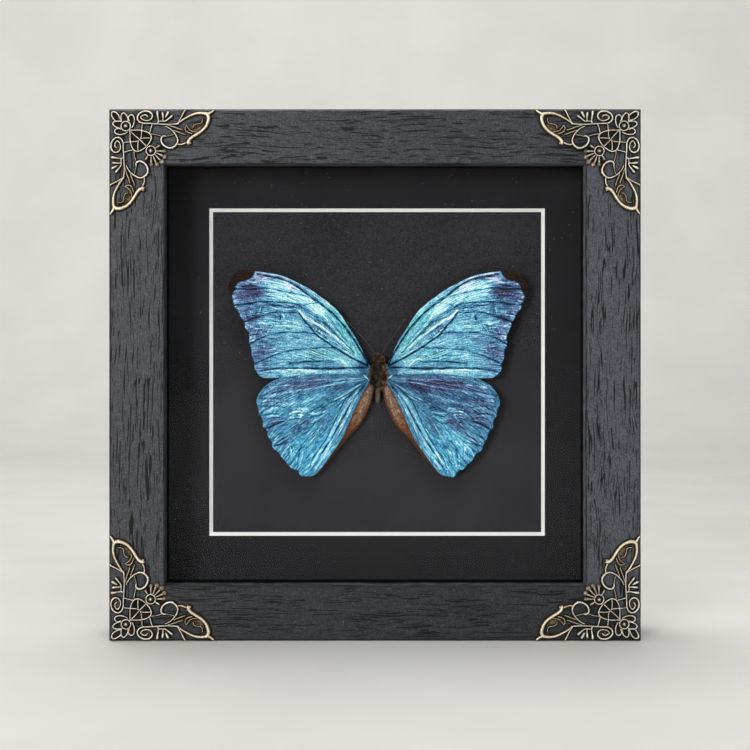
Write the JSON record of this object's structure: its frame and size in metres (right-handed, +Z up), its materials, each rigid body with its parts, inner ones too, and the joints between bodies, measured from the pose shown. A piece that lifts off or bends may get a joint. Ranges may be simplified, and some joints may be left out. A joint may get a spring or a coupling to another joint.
{
  "type": "framed butterfly specimen",
  "caption": "Spread blue morpho butterfly in a deep glazed box frame of black open-grained wood, with a bevelled mat and pierced metal corner ornaments.",
  "frame": {"origin": "middle of the underside of the bottom rail, on the surface that the frame stands on", "axes": "+Z up, the glazed front faces -Y, +X to the right as seen from the front"},
  "size_m": [0.22, 0.04, 0.22],
  "materials": {
    "rail_wood": "satin black stain over open grain",
    "glass": "clear picture glass",
    "spacer": "matte black wrapped strip",
    "mat": "matte black board with a white core",
    "backing_card": "matte black card",
    "hardboard": "raw brown hardboard",
    "steel": "zinc-plated",
    "ornament_brass": "antiqued, bright ridges over dark recesses",
    "butterfly": "iridescent blue scales on dry wings, brown body"
  },
  "bodies": {
    "root": {"frame_rail_top": "rail_wood", "frame_rail_left": "rail_wood", "frame_rail_bottom": "rail_wood", "frame_rail_right": "rail_wood", "glass": "glass", "spacer_top": "spacer", "spacer_left": "spacer", "spacer_bottom": "spacer", "spacer_right": "spacer", "mat_board": "mat", "backing_card": "backing_card", "back_panel": "hardboard", "back_tab_top_a": "steel", "back_tab_top_b": "steel", "back_tab_left_a": "steel", "back_tab_left_b": "steel", "back_tab_bottom_a": "steel", "back_tab_bottom_b": "steel", "back_tab_right_a": "steel", "back_tab_right_b": "steel", "sawtooth_hanger": "steel", "hanger_nail_left": "steel", "hanger_nail_right": "steel", "corner_ornament_top_left": "ornament_brass", "corner_ornament_bottom_left": "ornament_brass", "corner_ornament_bottom_right": "ornament_brass", "corner_ornament_top_right": "ornament_brass", "butterfly": "butterfly"}
  },
  "joints": []
}
